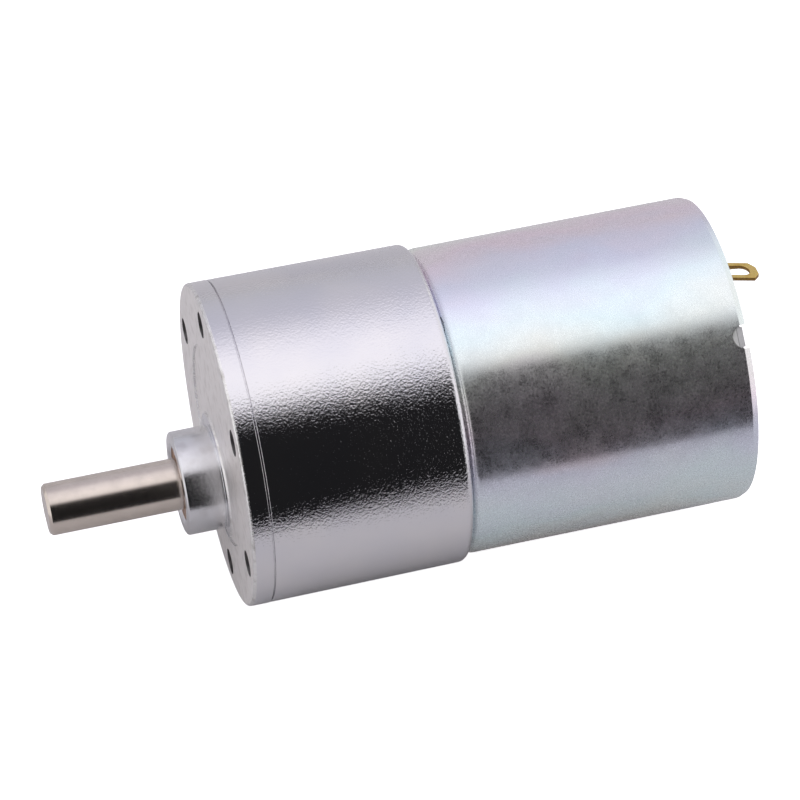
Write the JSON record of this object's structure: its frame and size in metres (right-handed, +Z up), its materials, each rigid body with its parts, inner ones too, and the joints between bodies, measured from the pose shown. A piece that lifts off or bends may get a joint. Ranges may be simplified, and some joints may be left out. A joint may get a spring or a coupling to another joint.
{
  "type": "geared dc motor",
  "caption": "Cylindrical brushed DC motor on a round die-cast spur gearbox, with an offset D-shaped output shaft in a raised boss, tapped face holes and rear solder tabs.",
  "frame": {"origin": "centre of the gearbox's round front face, on the motor's axis", "axes": "X is the motor's axis: the output shaft points along -X and the terminals along +X. +Z is up, and the output shaft lies below the motor's axis. +Y completes the right-handed frame"},
  "size_m": [0.0834, 0.037, 0.037],
  "materials": {
    "cast_zinc": "bright die casting with a fine orange-peel texture",
    "can_zinc": "iridescent zinc plate, slightly grainy",
    "plated_screw": "zinc plated",
    "black_screw": "black oxide",
    "shaft_steel": "ground bright steel",
    "ground_steel": "ground steel",
    "gear_steel": "sintered steel, lightly oiled",
    "pinion_steel": "hardened steel",
    "spring_steel": "blued spring steel",
    "sintered_bronze": "oiled sintered bronze",
    "brass": "stamped brass",
    "copper": "bright copper",
    "enamelled_copper": "enamelled wire",
    "lamination": "stacked laminations",
    "ferrite": "dull sintered ferrite",
    "gear_nylon": "natural nylon",
    "holder_plastic": "moulded white nylon",
    "fibre": "vulcanised fibre",
    "carbon": "pressed copper graphite"
  },
  "bodies": {
    "case": {"gearbox_housing": "cast_zinc", "front_cover": "cast_zinc", "cover_screws": "plated_screw", "output_bush": "sintered_bronze", "rear_output_bush": "sintered_bronze", "output_washers": "ground_steel", "gear_pin_a": "ground_steel", "gear_pin_b": "ground_steel", "gear_spacers": "brass", "motor_screws": "black_screw", "motor_can": "can_zinc", "front_bearing": "sintered_bronze", "rear_bearing": "sintered_bronze", "end_plate": "can_zinc", "magnet_upper": "ferrite", "magnet_lower": "ferrite", "magnet_clips": "spring_steel", "brush_holder": "holder_plastic", "brushes": "carbon", "brush_arms": "copper", "terminal_positive": "brass", "terminal_negative": "brass"},
    "output": {"output_shaft": "shaft_steel", "output_gear": "gear_steel", "output_clip": "spring_steel"},
    "third_stage": {"third_stage_wheel": "gear_steel", "third_stage_pinion": "pinion_steel"},
    "second_stage": {"second_stage_wheel": "gear_steel", "second_stage_pinion": "pinion_steel"},
    "first_stage": {"first_stage_wheel": "gear_nylon", "first_stage_pinion": "pinion_steel"},
    "armature": {"motor_pinion": "brass", "motor_shaft": "ground_steel", "armature_core": "lamination", "armature_coils": "enamelled_copper", "armature_washers": "fibre", "commutator_hub": "holder_plastic", "commutator_bars": "copper"}
  },
  "joints": [
    {"name": "armature_spin", "type": "hinge", "parent": "case", "child": "armature", "pos_m": [0, 0, 0], "axis": [1, 0, 0], "continuous": true},
    {"name": "first_stage_spin", "type": "hinge", "parent": "case", "child": "first_stage", "pos_m": [0, 0.00879, 0.00042], "axis": [1, 0, 0], "continuous": true},
    {"name": "second_stage_spin", "type": "hinge", "parent": "case", "child": "second_stage", "pos_m": [0, 0.0019, 0.0062], "axis": [1, 0, 0], "continuous": true},
    {"name": "third_stage_spin", "type": "hinge", "parent": "case", "child": "third_stage", "pos_m": [0, 0.00879, 0.00042], "axis": [1, 0, 0], "continuous": true},
    {"name": "output_spin", "type": "hinge", "parent": "case", "child": "output", "pos_m": [0, 0, -0.007], "axis": [1, 0, 0], "continuous": true}
  ],
  "couplings": [
    {"joint": "first_stage_spin", "follows": "armature_spin", "ratio": -0.375},
    {"joint": "second_stage_spin", "follows": "armature_spin", "ratio": 0.14423},
    {"joint": "third_stage_spin", "follows": "armature_spin", "ratio": -0.055473},
    {"joint": "output_spin", "follows": "armature_spin", "ratio": 0.019579}
  ]
}
